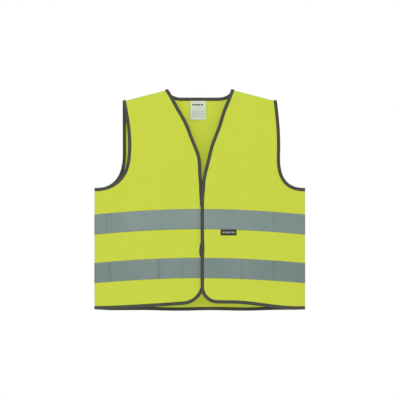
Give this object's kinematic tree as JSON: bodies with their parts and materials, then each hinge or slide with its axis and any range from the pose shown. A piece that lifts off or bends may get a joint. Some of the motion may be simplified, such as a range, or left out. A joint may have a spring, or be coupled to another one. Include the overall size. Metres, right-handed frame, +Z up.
{
  "type": "high visibility vest",
  "caption": "Sleeveless V-neck safety vest in bright knitted cloth with dark bound edges, horizontal reflective tapes and fronts that overlap and open on hook-and-loop closures.",
  "frame": {"origin": "midway between the two neck points, where the shoulder seams meet the neck", "axes": "+Z up along the body, the front faces -Y, +X is the wearer's left"},
  "size_m": [0.5282, 0.0659, 0.5508],
  "materials": {
    "vest_cloth": "matt warp-knitted polyester, fluorescent yellow",
    "edge_binding": "matt ribbed binding tape, dark grey",
    "reflective_tape": "satin glass-bead tape, grey",
    "hook_and_loop": "matt hook and loop tape, yellow",
    "care_label": "smooth printed satin label, white",
    "woven_label": "matt woven label, black"
  },
  "bodies": {
    "root": {"back_hem_binding": "edge_binding", "back_lower_tape": "reflective_tape", "back_panel": "vest_cloth", "back_upper_tape": "reflective_tape", "left_armhole_binding": "edge_binding", "left_front_hem_binding": "edge_binding", "left_front_side_lower_tape": "reflective_tape", "left_front_side_panel": "vest_cloth", "left_front_side_upper_tape": "reflective_tape", "left_shoulder_seam": "vest_cloth", "left_side_seam": "vest_cloth", "neck_binding": "edge_binding", "right_armhole_binding": "edge_binding", "right_front_hem_binding": "edge_binding", "right_front_side_lower_tape": "reflective_tape", "right_front_side_panel": "vest_cloth", "right_front_side_upper_tape": "reflective_tape", "right_shoulder_seam": "vest_cloth", "right_side_seam": "vest_cloth"},
    "left_front": {"left_front_binding": "edge_binding", "left_front_lower_tape": "reflective_tape", "left_front_panel": "vest_cloth", "left_front_upper_tape": "reflective_tape", "lower_hook_strip": "hook_and_loop", "upper_hook_strip": "hook_and_loop"},
    "right_front": {"lower_loop_strip": "hook_and_loop", "right_front_binding": "edge_binding", "right_front_lower_tape": "reflective_tape", "right_front_panel": "vest_cloth", "right_front_upper_tape": "reflective_tape", "upper_loop_strip": "hook_and_loop"},
    "care_label_leaf": {"care_label": "care_label"},
    "woven_label_leaf": {"woven_label": "woven_label"}
  },
  "joints": [
    {"name": "left_front_open", "type": "hinge", "parent": "root", "child": "left_front", "pos_m": [0.11925, -0.0353, -0.53691], "axis": [-0.067, 0.0525, 0.9964], "range_deg": [0, 150]},
    {"name": "right_front_open", "type": "hinge", "parent": "root", "child": "right_front", "pos_m": [-0.11916, -0.0353, -0.53691], "axis": [-0.0752, -0.052, -0.9958], "range_deg": [0, 112.5]},
    {"name": "care_label_flip", "type": "hinge", "parent": "root", "child": "care_label_leaf", "pos_m": [-0.004, 0.00525, -0.0275], "axis": [-1, 0, 0], "range_deg": [0, 150]},
    {"name": "woven_label_flip", "type": "hinge", "parent": "left_front", "child": "woven_label_leaf", "pos_m": [0.07154, -0.02667, -0.34937], "axis": [-0.9975, -0.0644, 0.0291], "range_deg": [0, 150]}
  ],
  "couplings": [
    {"joint": "right_front_open", "follows": "left_front_open", "ratio": 0.75}
  ]
}
